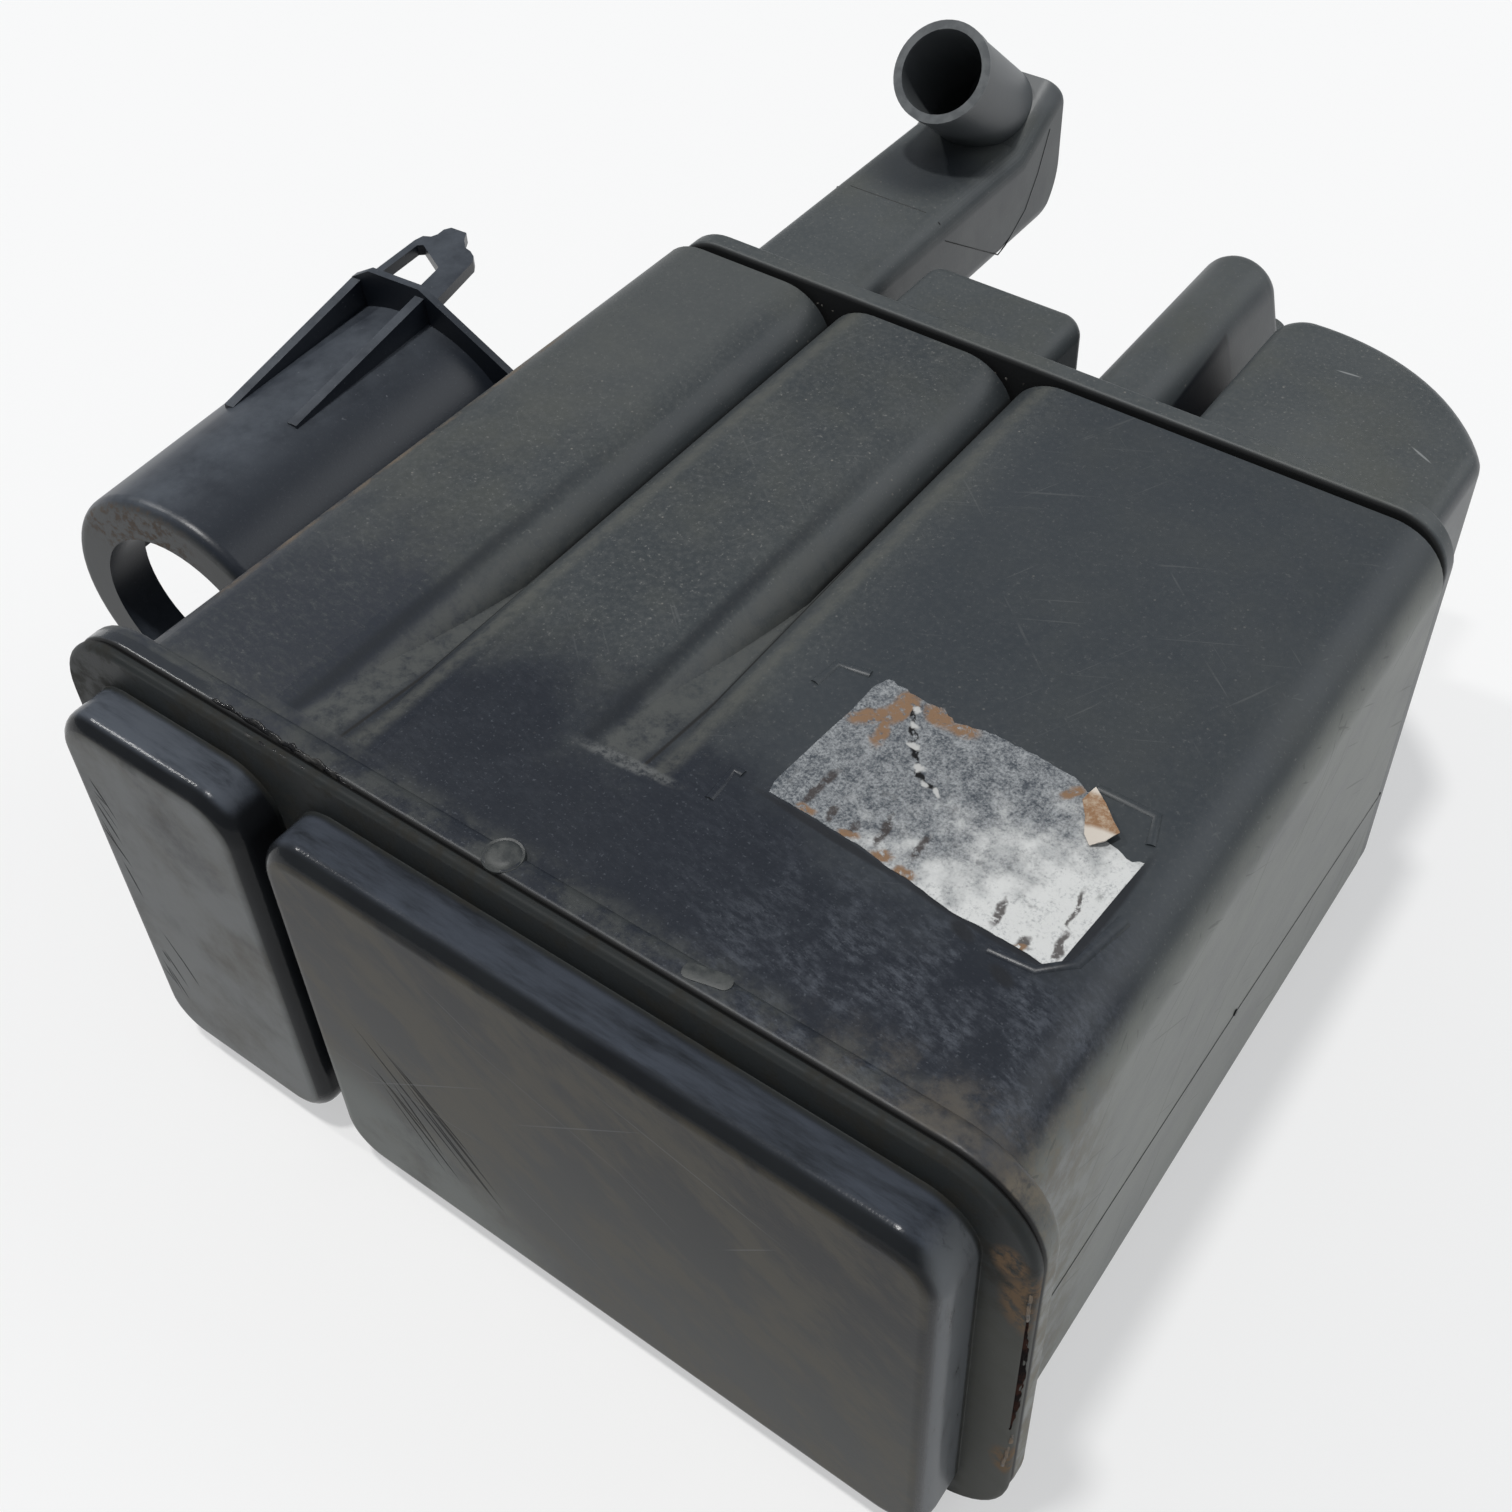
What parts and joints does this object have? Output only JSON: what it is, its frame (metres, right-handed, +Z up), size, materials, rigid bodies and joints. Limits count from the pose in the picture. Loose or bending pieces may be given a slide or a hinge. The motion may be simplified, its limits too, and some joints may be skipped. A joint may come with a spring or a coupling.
{
  "type": "charcoal canister",
  "caption": "Fuel-vapour charcoal canister: welded plastic lobes, raised end cover, side valve sleeve with latch, and a vent elbow.",
  "frame": {"origin": "middle of the part's box, at the underside of the weld flanges", "axes": "+X across the near end, away from the valve sleeve; +Y from the near cover to the port end; +Z up"},
  "size_m": [0.232, 0.2428, 0.123],
  "materials": {
    "housing": "satin moulded black",
    "cover": "satin moulded black",
    "port": "satin moulded black",
    "charcoal": "granular",
    "pad": "felted",
    "plate": "moulded",
    "spring": "drawn wire",
    "label": "weathered"
  },
  "bodies": {
    "root": {"housing": "housing", "end_cover": "cover", "port_cover": "port", "carbon_bed_left": "charcoal", "carbon_bed_middle": "charcoal", "carbon_bed_main": "charcoal", "port_pad_left": "pad", "port_pad_middle": "pad", "port_pad_main": "pad", "spring_pad_left": "pad", "spring_pad_middle": "pad", "spring_pad_main": "pad", "pressure_plate_left": "plate", "pressure_plate_middle": "plate", "pressure_plate_main": "plate", "spring_left": "spring", "spring_middle": "spring", "spring_main_upper": "spring", "spring_main_lower": "spring", "label": "label"}
  },
  "joints": []
}
